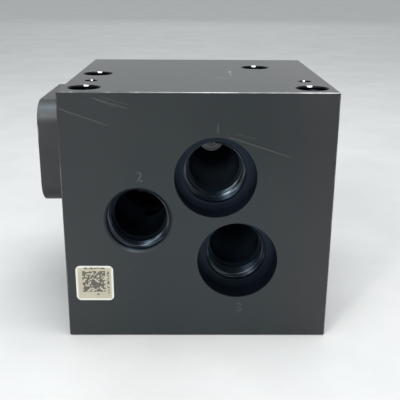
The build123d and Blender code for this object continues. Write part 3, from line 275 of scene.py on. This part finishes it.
def blackened_block():
    """Black oxide on the milled block: slate, warmer at the sides, worn along its edges, with painted shade
    and painted light in its holes and painted highlights on its front top edge and on the top holes' lips.
    """
    f = Finish("blackened_block_steel")
    x, y, z = (f.along(i) for i in range(3))
    side = f.math("ABSOLUTE", x)
    edge_depth = 0.56 * MM
    skin = 0.06 * MM
    half = block_high.x
    height = block_high.z
    front_gap = f.math("MULTIPLY", y, -1.0)
    on_side = near_face(f, side, half, edge_depth)
    on_front = near_face(f, front_gap, -block_low.y, edge_depth)
    on_back = near_face(f, y, block_high.y, edge_depth)
    on_top = near_face(f, z, height, edge_depth)
    count = f.math("ADD", f.math("ADD", on_side, on_front), f.math("ADD", on_back, on_top))
    edge = f.math("GREATER_THAN", count, 1.5)
    # The front top edge: worn bare, and painted brighter to the right as a painted highlight.
    line_depth = 0.42 * MM
    front_top = f.math(
        "MULTIPLY",
        near_face(f, front_gap, -block_low.y, line_depth),
        near_face(f, z, height, line_depth),
    )
    wear = f.step(f.noise(45.0, 5.0, 0.7), 0.44, 0.66)
    broken = f.step(f.noise(26.0, 2.0, 0.5), 0.30, 0.50, 0.35, 1.0)
    wear_and_highlight_right = f.math("MULTIPLY", f.step(x, -0.050, 0.010, 0.10, 0.62), broken)
    edge_wear = f.math("MULTIPLY", wear, 0.45)
    line_wear_and_highlight = f.math("MULTIPLY", front_top, wear_and_highlight_right)
    worn = f.math("MULTIPLY", edge, f.most(edge_wear, line_wear_and_highlight))

    on_front_skin = f.math("GREATER_THAN", front_gap, -block_low.y - skin)
    on_top_skin = f.math("GREATER_THAN", z, height - skin)
    waver = f.math("MULTIPLY", f.math("SUBTRACT", f.noise(60.0, 2.0, 0.5), 0.5), 1.6 * MM)
    marks = f.most(
        strokes(f, x, f.math("ADD", z, waver), FRONT_SCRATCHES, on_front_skin),
        strokes(f, x, y, TOP_SCRIBES, on_top_skin),
    )
    fine = f.noise(1.0, 3.0, 0.6, f.where(scale=(70, 900, 1500), turn=(0.0, 0.34, 0.0)))
    hair = f.math("MULTIPLY", f.step(fine, 0.70, 0.80), f.mix_number(on_top_skin, 0.05, 0.0))
    speck = f.step(f.noise(650.0, 1.0, 0.4), 0.80, 0.84, 0.0, 0.12)

    cloud = f.noise(16.0, 5.0, 0.6)
    # The block's colour is darker towards the top.
    by_height = f.step(z, 0.060, 0.130)
    base = f.blend(by_height, BLOCK_SLATE, BLOCK_SLATE_HIGH)
    warm_side = f.math("MULTIPLY", f.step(side, 0.030, 0.070), f.step(cloud, 0.30, 0.70, 0.55, 1.0))
    # The warm tone is weaker towards the left, as painted shade on that side.
    base = f.blend(f.math("MULTIPLY", warm_side, f.step(x, -0.06, 0.0, 0.45, 0.85)), base, BLOCK_WARM)
    clouded = f.math("MULTIPLY", f.step(cloud, 0.35, 0.75, 0.0, 0.25), f.mix_number(on_top_skin, 1.0, 0.0))
    base = f.blend(clouded, base, grey(0.031, 0.037, 0.039))
    deep = inside_block(f, x, y, z, half, height)
    # Inside the holes: the ports' walls are painted paler deeper in, as painted light, and the ports' inner
    # ends and the top holes are painted near black, as painted shade.
    into_bore = f.step(y, BORE_TONE_START, BORE_TONE_END)
    facing = f.math("ABSOLUTE", f.along(1, f.place.outputs["Normal"]))
    at_end = f.math("GREATER_THAN", y, BORE_END_START)
    bore_end = f.math("MULTIPLY", f.math("GREATER_THAN", facing, 0.5), at_end)
    unlit = f.most(bore_end, f.math("GREATER_THAN", z, height - TOP_HOLE_REACH))
    bore_painted_light_and_shade = f.blend(unlit, f.blend(into_bore, PORT_MOUTH, BORE_PAINTED_LIGHT), BORE_PAINTED_SHADE)
    # Painted highlight: bare steel colour on the rear arc of each top hole's lip, the arc that faces the
    # front.
    lip = f.math("MULTIPLY", deep, f.math("GREATER_THAN", z, height - HOLE_LIP))
    glint = f.math("MULTIPLY", lip, f.math("LESS_THAN", f.along(1, f.place.outputs["Normal"]), -0.698))
    base = f.blend(deep, base, bore_painted_light_and_shade)
    bright = f.most(worn, marks, hair, speck, glint)
    f.set(Base_Color=f.blend(bright, base, BARE_STEEL_AND_GLINT))
    wall_metal = f.step(into_bore, 0.0, 1.0, 0.90, 0.20)
    bore_metal = f.math("MULTIPLY", deep, f.most(wall_metal, f.math("MULTIPLY", unlit, 0.95)))
    f.set(Metallic=f.most(f.mix_number(bright, 0.25, 0.95), bore_metal))
    grain = f.noise(1.0, 3.0, 0.55, f.where(scale=(120, 2600, 2600)))
    rough = f.step(f.noise(60.0, 4.0, 0.6), 0.25, 0.75, 0.36, 0.42)
    rough = f.mix_number(on_top_skin, rough, 0.39)
    f.set(Roughness=f.mix_number(bright, rough, 0.30))
    f.set(Specular_IOR_Level=0.5)
    relief = f.math("SUBTRACT", f.math("MULTIPLY", grain, 0.5), f.math("MULTIPLY", marks, 0.9))
    f.bump(relief, 0.06, 0.05 * MM)
    return f.material


def inside_block(f, x, y, z, half, height):
    """1 on the walls of the holes, 0 on the six outer faces."""
    depth = OUTER_SKIN
    outer = f.most(
        near_face(f, f.math("ABSOLUTE", x), half, depth),
        near_face(f, f.math("ABSOLUTE", y), block_high.y, depth),
        near_face(f, z, height, TOP_SKIN),
        f.math("LESS_THAN", z, depth),
    )
    return f.math("SUBTRACT", 1.0, outer)


def blackened_cover():
    """Black oxide on the milled side cover, with pale bands painted on its round upper front corner as a
    painted reflection.
    """
    f = Finish("blackened_cover_steel")
    low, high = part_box("side_cover")
    x, y, z = (f.along(i) for i in range(3))
    cloud = f.noise(30.0, 5.0, 0.6)
    upper = f.step(z, high.z - 14 * MM, high.z - 3 * MM)
    front = f.step(y, low.y + 12 * MM, low.y, 0.0, 1.0)
    corner = f.math("MULTIPLY", upper, front)
    # Painted reflection: pale bands across the upper front round corner.
    painted_reflection_band = f.step(f.noise(1.0, 2.0, 0.5, f.where(scale=(4, 260, 60))), 0.42, 0.62)
    base = f.blend(f.step(cloud, 0.3, 0.7), grey(0.026, 0.028, 0.031), grey(0.038, 0.040, 0.043))
    base = f.blend(f.math("MULTIPLY", corner, painted_reflection_band), base, grey(0.085, 0.10, 0.11))
    patches = f.step(f.noise(80.0), 0.5, 0.62, 0.0, 0.55)
    rim = f.math("MULTIPLY", f.math("LESS_THAN", x, low.x + 0.6 * MM), patches)

    def by_edge(value, start, end):
        """1 within the worn width of the plate's outline, along one axis."""
        off_middle = f.math("ABSOLUTE", f.math("SUBTRACT", value, (start + end) / 2))
        return f.math("GREATER_THAN", off_middle, (end - start) / 2 - COVER_EDGE_WEAR)

    worn = f.math("MULTIPLY", rim, f.most(by_edge(y, low.y, high.y), by_edge(z, low.z, high.z)))
    f.set(Base_Color=f.blend(worn, base, BARE_STEEL_AND_GLINT))
    f.set(Metallic=f.mix_number(worn, 0.25, 0.95))
    f.set(Roughness=f.step(f.noise(90.0, 4.0, 0.6), 0.25, 0.75, 0.36, 0.52))
    f.bump(f.noise(1.0, 3.0, 0.6, f.where(scale=(2400, 160, 2400))), 0.12, 0.05 * MM)
    return f.material


def bright_metal(name, dark, light, low_rough, high_rough, turn_scale=(900, 900, 900), metallic=0.9):
    """Machined metal: two tones, fine tool marks and uneven gloss."""
    f = Finish(name)
    tone = f.noise(55.0, 5.0, 0.6)
    f.set(Base_Color=f.blend(f.step(tone, 0.3, 0.7), grey(*dark), grey(*light)))
    f.shader.inputs["Metallic"].default_value = metallic
    f.set(Roughness=f.step(f.noise(130.0, 4.0, 0.6), 0.25, 0.75, low_rough, high_rough))
    f.bump(f.noise(1.0, 3.0, 0.6, f.where(scale=turn_scale)), 0.15, 0.04 * MM)
    return f.material


def end_faced_metal(name, dark, bright, low_rough, high_rough):
    """Phosphated turned steel, dark all over, which is also painted shade, except on its foremost end
    faces, which are left bright as bare metal and as painted light.
    """
    f = Finish(name)
    facing = f.math("ABSOLUTE", f.along(1, f.place.outputs["Normal"]))
    outermost = f.math("LESS_THAN", f.along(1), NOSE_FACE_LIMIT)
    # Painted light on the foremost end faces, which face along Y; the rest stays dark, partly as painted
    # shade.
    bare_and_lit_end = f.math("MULTIPLY", f.step(facing, 0.90, 0.97), outermost)
    tone = f.step(f.noise(160.0, 4.0, 0.6), 0.3, 0.7, 0.75, 1.0)
    f.set(Base_Color=f.blend(f.math("MULTIPLY", bare_and_lit_end, tone), grey(*dark), grey(*bright)))
    f.shader.inputs["Metallic"].default_value = 0.85
    f.set(Roughness=f.step(f.noise(130.0, 4.0, 0.6), 0.25, 0.75, low_rough, high_rough))
    f.bump(f.noise(1.0, 3.0, 0.6, f.where(scale=(240, 2400, 240))), 0.12, 0.04 * MM)
    return f.material


def soft_ring(name, dark, light, rough):
    """Rubber or plastic ring: moulded, slightly uneven and dusty."""
    f = Finish(name)
    dust = f.noise(240.0, 5.0, 0.7)
    f.set(Base_Color=f.blend(f.step(dust, 0.35, 0.75), grey(*dark), grey(*light)))
    f.set(Roughness=f.step(f.noise(90.0), 0.25, 0.75, rough - 0.08, rough + 0.08))
    f.bump(f.noise(900.0, 4.0, 0.6), 0.2, 0.05 * MM)
    return f.material


def wire():
    """Shot peened spring wire: a fine pebbled skin."""
    f = Finish("peened_spring_wire")
    f.set(Base_Color=f.blend(f.noise(90.0), grey(0.16, 0.16, 0.17), grey(0.34, 0.34, 0.35)))
    f.shader.inputs["Metallic"].default_value = 0.9
    f.set(Roughness=f.step(f.noise(160.0), 0.25, 0.75, 0.32, 0.46))
    pebble = f.node("ShaderNodeTexVoronoi")
    f.feed(pebble.inputs["Vector"], f.place.outputs["Object"])
    pebble.inputs["Scale"].default_value = 4200.0
    f.bump(pebble.outputs["Distance"], 0.3, 0.05 * MM)
    return f.material


CODE_CELL = 0.76 * MM
CODE_HALF = 6.1 * MM
CODE_CENTRE = (-0.0554, 0.0325)


def printed_label():
    """Cream film with a white rim and a generic printed block of random squares and dashes."""
    f = Finish("printed_label_film")
    x, z = f.along(0), f.along(2)
    middle_x = (label_low.x + label_high.x) / 2
    middle_z = (label_low.z + label_high.z) / 2
    half = (label_high.x - label_low.x) / 2
    off_x = f.math("ABSOLUTE", f.math("SUBTRACT", x, middle_x))
    off_z = f.math("ABSOLUTE", f.math("SUBTRACT", z, middle_z))
    rim = f.step(f.most(off_x, off_z), half - 1.6 * MM, half - 0.5 * MM)
    film = f.blend(f.step(f.noise(60.0), 0.3, 0.7), grey(0.42, 0.390, 0.295), grey(0.47, 0.440, 0.335))
    film = f.blend(rim, film, grey(0.68, 0.69, 0.64))

    def within(value, centre, reach):
        return f.math("LESS_THAN", f.math("ABSOLUTE", f.math("SUBTRACT", value, centre)), reach)

    def squares(cell_x, cell_z, share):
        snap = f.node("ShaderNodeVectorMath", operation="SNAP")
        f.feed(snap.inputs[0], f.place.outputs["Object"])
        snap.inputs[1].default_value = (cell_x, 1.0, cell_z)
        chance = f.node("ShaderNodeTexWhiteNoise", noise_dimensions="3D")
        f.feed(chance.inputs["Vector"], snap.outputs[0])
        return f.math("LESS_THAN", chance.outputs["Value"], share)

    def block(centre_x, centre_z, reach_x, reach_z, pattern):
        area = f.math("MULTIPLY", within(x, centre_x, reach_x), within(z, centre_z, reach_z))
        return f.math("MULTIPLY", area, pattern)

    code_x, code_z = CODE_CENTRE
    ink = f.most(
        block(code_x, code_z, CODE_HALF, CODE_HALF, squares(CODE_CELL, CODE_CELL, 0.64)),
        block(code_x + 0.5 * MM, code_z + 7.6 * MM, 5.6 * MM, 0.45 * MM, squares(0.55 * MM, 4 * MM, 0.60)),
        block(code_x + 7.6 * MM, code_z - 0.6 * MM, 0.55 * MM, 6.4 * MM, squares(4 * MM, 0.75 * MM, 0.55)),
        block(code_x + 2.6 * MM, code_z - 7.5 * MM, 1.7 * MM, 0.45 * MM, squares(0.55 * MM, 4 * MM, 0.60)),
    )
    soft_ink = f.math("MULTIPLY", ink, f.step(f.noise(900.0), 0.2, 0.7, 0.72, 0.95))
    f.set(Base_Color=f.blend(soft_ink, film, grey(0.045, 0.043, 0.042)))
    f.set(Roughness=f.mix_number(ink, 0.48, 0.60))
    f.bump(f.noise(420.0, 4.0, 0.6), 0.10, 0.03 * MM)
    return f.material


def number_paint():
    """The faint port numbers: the block's own colour, a little lighter and duller."""
    f = Finish("engraved_number_steel")
    patchy = f.step(f.noise(420.0, 4.0, 0.7), 0.35, 0.65)
    f.set(Base_Color=f.blend(patchy, grey(0.028, 0.036, 0.038), grey(0.062, 0.074, 0.077)))
    f.shader.inputs["Metallic"].default_value = 0.25
    f.set(Roughness=f.step(f.noise(120.0), 0.25, 0.75, 0.50, 0.62))
    f.bump(f.noise(1500.0), 0.2, 0.03 * MM)
    return f.material


def pale_floor():
    """Pale grey board under the object, slightly mottled."""
    f = Finish("pale_floor_board")
    mottle = f.step(f.noise(9.0, 6.0, 0.65), 0.3, 0.7)
    f.set(Base_Color=f.blend(mottle, grey(0.60, 0.605, 0.60), grey(0.66, 0.665, 0.66)))
    f.set(Roughness=f.step(f.noise(30.0), 0.3, 0.7, 0.6, 0.75))
    f.bump(f.noise(70.0, 5.0, 0.6), 0.25, 0.6 * MM)
    return f.material


def thread_steel():
    """Cut threads in the dark block: painted near black as shade, with paler rings painted as streak
    highlights.
    """
    f = Finish("cut_thread_steel")
    highlight_rings = f.noise(1.0, 3.0, 0.6, f.where(scale=(40, 1500, 40)))
    tone = f.step(highlight_rings, 0.48, 0.66)
    # Painted shade: the near-black base; painted highlight: the paler rings.
    f.set(Base_Color=f.blend(tone, grey(0.006, 0.010, 0.015), grey(0.075, 0.085, 0.092)))
    f.shader.inputs["Metallic"].default_value = 0.95
    f.set(Roughness=f.step(f.noise(200.0), 0.25, 0.75, 0.20, 0.30))
    f.bump(f.noise(1200.0), 0.08, 0.03 * MM)
    return f.material


FINISHES = {
    "blackened_steel": blackened_block(),
    "cover_steel": blackened_cover(),
    "label_film": printed_label(),
    "screw_steel": bright_metal(
        "oiled_screw_steel", (0.022, 0.022, 0.024), (0.060, 0.060, 0.063), 0.26, 0.40, metallic=0.6
    ),
    "ground_steel": end_faced_metal(
        "ground_seat_steel", (0.012, 0.012, 0.013), (0.44, 0.39, 0.405), 0.20, 0.32
    ),
    "turned_steel": end_faced_metal(
        "turned_cage_steel", (0.014, 0.014, 0.016), (0.40, 0.355, 0.37), 0.26, 0.40
    ),
    "zinc_steel": bright_metal("zinc_plated_steel", (0.42, 0.44, 0.44), (0.62, 0.63, 0.62), 0.28, 0.42),
    "spring_steel": wire(),
    "jet_brass": bright_metal("turned_jet_brass", (0.55, 0.40, 0.17), (0.76, 0.60, 0.30), 0.18, 0.32),
    "nitrile": soft_ring("moulded_nitrile", (0.014, 0.014, 0.015), (0.040, 0.040, 0.042), 0.55),
    "backup_plastic": soft_ring("cut_backup_plastic", (0.74, 0.72, 0.66), (0.86, 0.85, 0.80), 0.45),
    "bonded_washer": soft_ring("bonded_sealing_washer", (0.06, 0.06, 0.065), (0.14, 0.14, 0.15), 0.50),
}


def dress(piece, material):
    piece.data.materials.clear()
    piece.data.materials.append(material)


def dress_cad_nodes():
    for part in frame["record"]["subparts"]:
        dress(frame["nodes"][part["node"]], FINISHES[part["material_slot"]])


# ================================================================ new pieces
def finished_piece(name, mesh, body, material, smooth_angle=None):
    """Turns a bmesh into a piece that rides on a body, when one is given, and takes a slot's finish."""
    data = bpy.data.meshes.new(name)
    mesh.to_mesh(data)
    mesh.free()
    piece = bpy.data.objects.new(name, data)
    bpy.context.scene.collection.objects.link(piece)
    data.materials.append(material)
    if smooth_angle is not None:
        data.shade_smooth()
        data.set_sharp_from_angle(angle=math.radians(smooth_angle))
    if body is not None:
        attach(piece, body)
    return piece


def add_thread_ridge(mesh, centre, axis, start, length, wall, crest, pitch):
    """Winds one thread ridge along axis, in whole turns: a wedge that stands from wall to crest."""
    axis = Vector(axis)
    across = axis.cross(Vector((1.0, 0.0, 0.0))).normalized()
    turns = int(length / pitch)
    start += (length - turns * pitch) / 2
    length = turns * pitch
    steps = int(turns * THREAD_STEPS)
    half_root, half_crest = pitch * RIDGE_ROOT_SHARE, pitch * RIDGE_CREST_SHARE
    corners = ((wall, -half_root), (wall, half_root), (crest, half_crest), (crest, -half_crest))
    begin = Vector(centre) + axis * start
    ring = [mesh.verts.new(begin + across * radius + axis * shift) for radius, shift in corners]
    edges = [mesh.edges.new((ring[i], ring[(i + 1) % 4])) for i in range(4)]
    bmesh.ops.spin(
        mesh, geom=ring + edges, cent=centre, axis=axis, dvec=axis * (length / steps),
        angle=turns * math.tau, steps=steps, use_duplicate=False,
    )
    ends = [e for e in mesh.edges if e.is_boundary]
    bmesh.ops.holes_fill(mesh, edges=ends, sides=4)
    bmesh.ops.recalc_face_normals(mesh, faces=mesh.faces)


def hole_thread(name, mount, depth, pitch, radius, rise):
    """The thread cut in one of the block's threaded holes, from the hole's own place and length."""
    hole = mounts[mount]
    out = Vector(hole["axis"])
    mouth_gap = pitch * 0.5 + RUNOUT
    usable = depth - 2 * mouth_gap
    mesh = bmesh.new()
    start = -usable / 2
    wall = radius + THREAD_ROOT_SINK
    add_thread_ridge(mesh, hole["pos_m"], out, start, usable, wall, radius - rise, pitch)
    finished_piece(name, mesh, "valve_block", PORT_THREAD, SMOOTH_ANGLE)


def port_threads():
    for port in ("dump_port", "inlet_port", "flush_port"):
        length = mounts[port]["dims"]["length_mm"] * MM
        hole_thread(
            port + "_thread", port, length, PIPE_THREAD_PITCH, PIPE_THREAD_RADIUS, PIPE_THREAD_DEPTH
        )


def mounting_threads():
    """The four mounting holes' threads, at the places that the mount patterns give."""
    rear = mounts["rear_mounting_thread"]
    front = mounts["front_mounting_threads"]
    left = mounts["left_mounting_threads"]
    length = rear["dims"]["length_mm"] * MM
    middle_z = rear["pos_m"][2]
    half_x = front["dims"]["spacing_x_mm"] * MM / 2
    half_y = left["dims"]["spacing_y_mm"] * MM / 2
    centres = {
        "front_left": (front["pos_m"][0] - half_x, front["pos_m"][1]),
        "front_right": (front["pos_m"][0] + half_x, front["pos_m"][1]),
        "middle_left": (left["pos_m"][0], left["pos_m"][1] + half_y),
        "rear_right": tuple(rear["pos_m"][:2]),
    }
    gap = MOUNT_THREAD_PITCH * 0.5
    usable = length - 2 * gap
    for place, (x, y) in centres.items():
        mesh = bmesh.new()
        add_thread_ridge(
            mesh, (x, y, middle_z), (0, 0, 1), -usable / 2, usable, MOUNT_THREAD_RADIUS + THREAD_ROOT_SINK,
            MOUNT_THREAD_RADIUS - MOUNT_THREAD_DEPTH, MOUNT_THREAD_PITCH,
        )
        name = place + "_mounting_thread"
        finished_piece(name, mesh, "valve_block", PORT_THREAD, SMOOTH_ANGLE)


def threaded_adjust_screw():
    """The adjusting screw with its real thread: a core with a hexagon socket, and a ridge wound on it."""
    centre_x, centre_z = (screw_low.x + screw_high.x) / 2, (screw_low.z + screw_high.z) / 2
    outer = (screw_high.x - screw_low.x) / 2
    core = outer - ADJUST_THREAD_DEPTH
    mesh = bmesh.new()
    profile = (
        (core - 0.3 * MM, screw_low.y),
        (core, screw_low.y + 0.8 * MM),
        (core, screw_high.y - 0.5 * MM),
        (core - 0.4 * MM, screw_high.y),
    )
    points = [mesh.verts.new((centre_x + radius, y, centre_z)) for radius, y in profile]
    line = [mesh.edges.new(pair) for pair in zip(points, points[1:])]
    bmesh.ops.spin(mesh, geom=points + line, cent=(centre_x, 0, centre_z), axis=(0, 1, 0), dvec=(0, 0, 0),
                   angle=math.tau, steps=THREAD_STEPS, use_merge=True, use_duplicate=False)
    middle_y = (screw_low.y + screw_high.y) / 2
    front_rim = [e for e in mesh.edges if e.is_boundary and e.verts[0].co.y < middle_y]
    bmesh.ops.holes_fill(mesh, edges=front_rim, sides=0)
    rear_rim = [e for e in mesh.edges if e.is_boundary]
    place = Matrix.Translation((centre_x, screw_high.y, centre_z)) @ Matrix.Rotation(math.pi / 2, 4, "X")
    socket = bmesh.ops.create_circle(
        mesh, cap_ends=False, radius=ADJUST_SOCKET_RADIUS, segments=6, matrix=place
    )
    hexagon = list({e for v in socket["verts"] for e in v.link_edges})
    bmesh.ops.bridge_loops(mesh, edges=rear_rim + hexagon)
    deeper = bmesh.ops.extrude_edge_only(mesh, edges=hexagon)["geom"]
    floor_points = [g for g in deeper if isinstance(g, bmesh.types.BMVert)]
    bmesh.ops.translate(mesh, verts=floor_points, vec=(0, -ADJUST_SOCKET_DEPTH, 0))
    bmesh.ops.holes_fill(mesh, edges=[e for e in mesh.edges if e.is_boundary], sides=0)
    start = screw_low.y + ADJUST_THREAD_PITCH
    length = screw_high.y - screw_low.y - 2.2 * ADJUST_THREAD_PITCH
    add_thread_ridge(mesh, (centre_x, 0, centre_z), (0, 1, 0), start, length,
                     core - THREAD_ROOT_SINK, outer, ADJUST_THREAD_PITCH)
    name, finish = "threaded_adjust_screw", FINISHES["screw_steel"]
    piece = finished_piece(name, mesh, "adjust_screw", finish, SMOOTH_ANGLE)
    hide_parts("adjust_screw")


def coil(name, node, moving_body, still_end, moving_end, cut=None):
    """The CAD coil, or its part on one side of a cut, between the block and a moving piece, made a fixed
    piece.
    """
    mesh = bmesh.new()
    mesh.from_mesh(frame["nodes"][node].data)
    bmesh.ops.remove_doubles(mesh, verts=mesh.verts, dist=MERGE_DISTANCE)
    if cut is not None:
        away = (cut - moving_end).normalized()
        whole = mesh.verts[:] + mesh.edges[:] + mesh.faces[:]
        bmesh.ops.bisect_plane(
            mesh, geom=whole, dist=0.0, plane_co=cut, plane_no=away, clear_outer=True
        )
        bmesh.ops.holes_fill(mesh, edges=[e for e in mesh.edges if e.is_boundary], sides=0)
    bmesh.ops.recalc_face_normals(mesh, faces=mesh.faces)
    piece = finished_piece(name, mesh, None, FINISHES["spring_steel"], SMOOTH_ANGLE)
    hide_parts(node)
    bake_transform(piece)


def spring_ends(node, axis):
    """The two ends of a spring's own axis, the low one first."""
    low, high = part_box(node)
    ends = [(low + high) / 2, (low + high) / 2]
    ends[0][axis] = low[axis]
    ends[1][axis] = high[axis]
    return ends


def springs():
    """The three springs, as fixed pieces. The relief spring has a part for each end."""
    coil("logic_closing_coil", "logic_spring", "logic_poppet", *spring_ends("logic_spring", 0))
    coil("check_closing_coil", "check_spring", "check_poppet", *spring_ends("check_spring", 0))
    front, rear = spring_ends("relief_spring", 1)
    cut = front.lerp(rear, RELIEF_COIL_CUT)
    coil("relief_coil_front", "relief_spring", "relief_poppet", cut, front, cut)
    coil("relief_coil_rear", "relief_spring", "spring_plate", cut, rear, cut)


def port_number(name, text, middle, bottom):
    """One digit beside a port, a hair proud of the front face."""
    curve = bpy.data.curves.new(name + "_outline", "FONT")
    curve.body = text
    curve.size = NUMBER_HEIGHT / DIGIT_SHARE
    curve.align_x = "CENTER"
    curve.extrude = NUMBER_STAND
    curve.offset = NUMBER_WEIGHT
    drawn = bpy.data.objects.new(name + "_outline", curve)
    bpy.context.scene.collection.objects.link(drawn)
    bpy.context.view_layer.update()
    flat = bpy.data.meshes.new_from_object(drawn.evaluated_get(bpy.context.evaluated_depsgraph_get()))
    bpy.data.objects.remove(drawn)
    bpy.data.curves.remove(curve)
    flat.transform(Matrix.Translation((middle, block_low.y, bottom)) @ Matrix.Rotation(math.pi / 2, 4, "X"))
    mesh = bmesh.new()
    mesh.from_mesh(flat)
    bpy.data.meshes.remove(flat)
    bmesh.ops.remove_doubles(mesh, verts=mesh.verts, dist=MERGE_DISTANCE)
    bmesh.ops.recalc_face_normals(mesh, faces=mesh.faces)
    finished_piece(name, mesh, "valve_block", NUMBER_FINISH)


def port_numbers():
    for name, digit, middle, bottom in PORT_NUMBERS:
        port_number(name, digit, middle, bottom)


# ================================================================ stage
def floor():
    mesh = bmesh.new()
    bmesh.ops.create_grid(mesh, x_segments=1, y_segments=1, size=FLOOR_REACH)
    data = bpy.data.meshes.new("pale_floor")
    mesh.to_mesh(data)
    mesh.free()
    board = bpy.data.objects.new("pale_floor", data)
    bpy.context.scene.collection.objects.link(board)
    data.materials.append(pale_floor())


def soft_light(name, place, aim, size, power):
    lamp = bpy.data.lights.new(name, "AREA")
    lamp.shape = "SQUARE"
    lamp.size = size
    lamp.energy = power
    holder = bpy.data.objects.new(name, lamp)
    holder.location = place
    holder.rotation_euler = (Vector(aim) - Vector(place)).to_track_quat("-Z", "Y").to_euler()
    bpy.context.scene.collection.objects.link(holder)


def studio():
    world = bpy.data.worlds.new("pale_room")
    world.use_nodes = True
    world.node_tree.nodes["Background"].inputs["Color"].default_value = (0.82, 0.86, 0.88, 1.0)
    world.node_tree.nodes["Background"].inputs["Strength"].default_value = 0.70
    bpy.context.scene.world = world
    soft_light("overhead_softbox", (0.15, -0.15, 1.2), (0.0, 0.0, 0.08), 0.8, 11.0)
    soft_light("front_fill", (-0.7, -1.1, 0.7), (0.0, 0.0, 0.07), 0.7, 7.0)
    soft_light("back_sheen", (0.1, 2.6, 1.15), (0.0, 0.0, 0.10), 1.6, 3.2)
    soft_light("port_glint", (-0.42, -0.80, 0.62), (0.0, -0.05, 0.07), 0.10, 2.2)


def camera():
    yaw, pitch, roll = (math.radians(a) for a in (CAMERA_YAW, CAMERA_PITCH, CAMERA_ROLL))
    ahead = Vector((math.sin(yaw) * math.cos(pitch), math.cos(yaw) * math.cos(pitch), -math.sin(pitch)))
    level = Vector((math.cos(yaw), -math.sin(yaw), 0.0))
    upright = level.cross(ahead)
    right = level * math.cos(roll) + upright * math.sin(roll)
    up = upright * math.cos(roll) - level * math.sin(roll)
    lens = bpy.data.cameras.new("camera")
    lens.lens = CAMERA_LENS
    lens.sensor_width = CAMERA_SENSOR
    lens.clip_start = 0.01
    holder = bpy.data.objects.new("camera", lens)
    turned = Matrix((right, up, -ahead)).transposed().to_4x4()
    holder.matrix_world = Matrix.Translation(CAMERA_PLACE) @ turned
    bpy.context.scene.collection.objects.link(holder)
    bpy.context.scene.camera = holder


PORT_THREAD = thread_steel()
NUMBER_FINISH = number_paint()

dress_cad_nodes()
port_threads()
mounting_threads()
threaded_adjust_screw()
springs()
port_numbers()
floor()
studio()
camera()
bpy.context.scene.view_settings.view_transform = "Standard"
